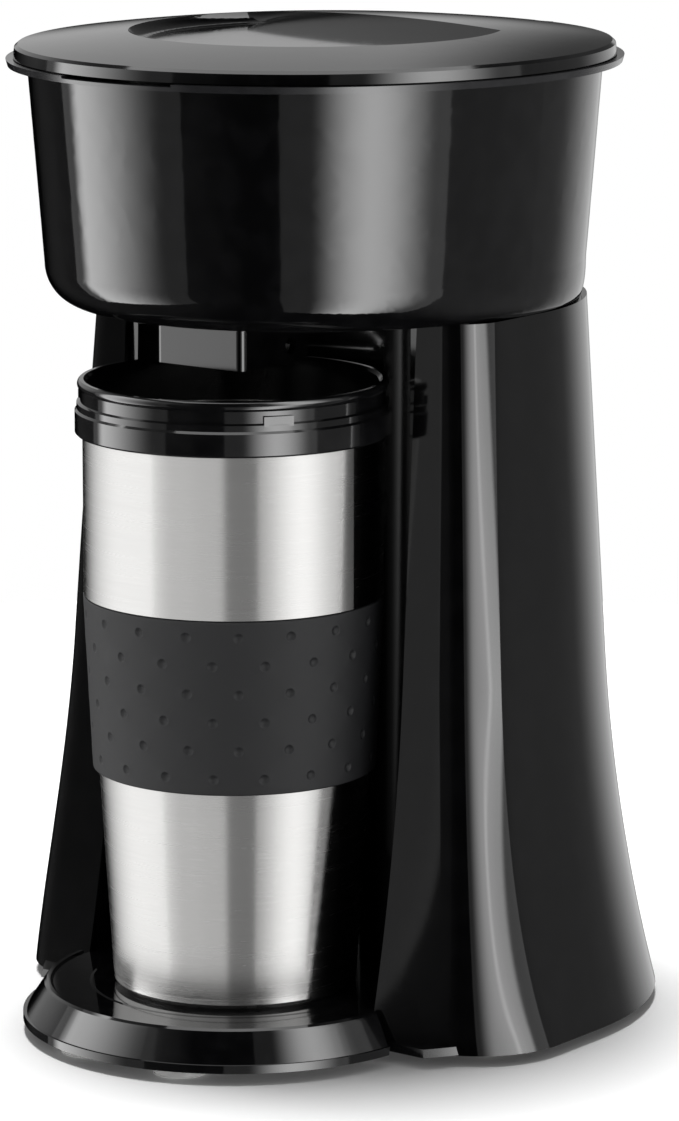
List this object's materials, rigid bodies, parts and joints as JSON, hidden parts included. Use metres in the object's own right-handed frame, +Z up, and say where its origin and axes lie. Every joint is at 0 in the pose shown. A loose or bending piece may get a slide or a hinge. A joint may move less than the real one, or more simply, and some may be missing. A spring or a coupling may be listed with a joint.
{
  "type": "drip coffee maker",
  "caption": "Single-serve drip coffee maker: flared column with an open mug bay, oval brewing head under a hinged domed lid, and a brushed-steel travel mug on a round platform.",
  "frame": {"origin": "middle of the footprint, on the plane that the feet stand on", "axes": "+Z up; the front, where the mug stands, is towards -Y; +X is to the right for someone facing the front"},
  "size_m": [0.1732, 0.192, 0.2688],
  "materials": {
    "housing_black": "high-gloss black moulding",
    "bay_black": "gloss black moulding",
    "base_black": "fine matt black moulding",
    "switch_black": "satin black",
    "tank_plastic": "satin dark moulding",
    "basket_plastic": "satin black",
    "filter_nylon": "fine woven nylon",
    "brushed_steel": "brushed around the mug",
    "mug_black": "gloss black",
    "grip_rubber": "matt, dimpled",
    "foot_rubber": "matt pale",
    "silicone": "translucent white",
    "heater_aluminium": "as extruded",
    "plated_steel": "zinc plated",
    "fuse_sleeve": "woven sleeve",
    "terminal_brass": "bright"
  },
  "bodies": {
    "housing": {"column_shell": "housing_black", "head_shell": "housing_black", "mug_platform": "housing_black", "bay_panel": "bay_black", "drip_spout": "bay_black", "base_cover": "base_black", "switch_body": "base_black", "terminal_block": "base_black", "cord_gland": "base_black", "water_tank": "tank_plastic", "spray_arm": "tank_plastic", "valve_body": "tank_plastic", "filter_basket": "basket_plastic", "filter_mesh": "filter_nylon", "rubber_feet": "foot_rubber", "supply_hose": "silicone", "riser_hose": "silicone", "spout_gasket": "silicone", "heater_tube": "heater_aluminium", "heater_element": "plated_steel", "heater_brackets": "plated_steel", "hose_clips": "plated_steel", "base_screws": "plated_steel", "head_screws": "plated_steel", "hinge_pin": "plated_steel", "thermostat": "plated_steel", "thermal_fuses": "fuse_sleeve", "wiring": "fuse_sleeve", "switch_terminals": "terminal_brass"},
    "lid_body": {"lid": "housing_black"},
    "mug_body": {"mug_shell": "brushed_steel", "mug_liner": "brushed_steel", "mug_collar": "mug_black", "mug_grip": "grip_rubber", "mug_base": "mug_black"},
    "rocker": {"switch_rocker": "switch_black"},
    "ball": {"valve_ball": "plated_steel"}
  },
  "joints": [
    {"name": "lid_hinge", "type": "hinge", "parent": "housing", "child": "lid_body", "pos_m": [0, 0.0778, 0.2614], "axis": [-1, 0, 0], "range_deg": [0, 95]},
    {"name": "mug_pull", "type": "slide", "parent": "housing", "child": "mug_body", "axis": [0, -0.9976, 0.0698], "range_m": [0, 0.125]},
    {"name": "switch_rock", "type": "hinge", "parent": "housing", "child": "rocker", "pos_m": [-0.07749, 0.0094, 0.03967], "axis": [0, 1, 0], "range_deg": [0, 14]},
    {"name": "ball_rise", "type": "slide", "parent": "housing", "child": "ball", "axis": [0, 0, 1], "range_m": [0, 0.0026]}
  ]
}
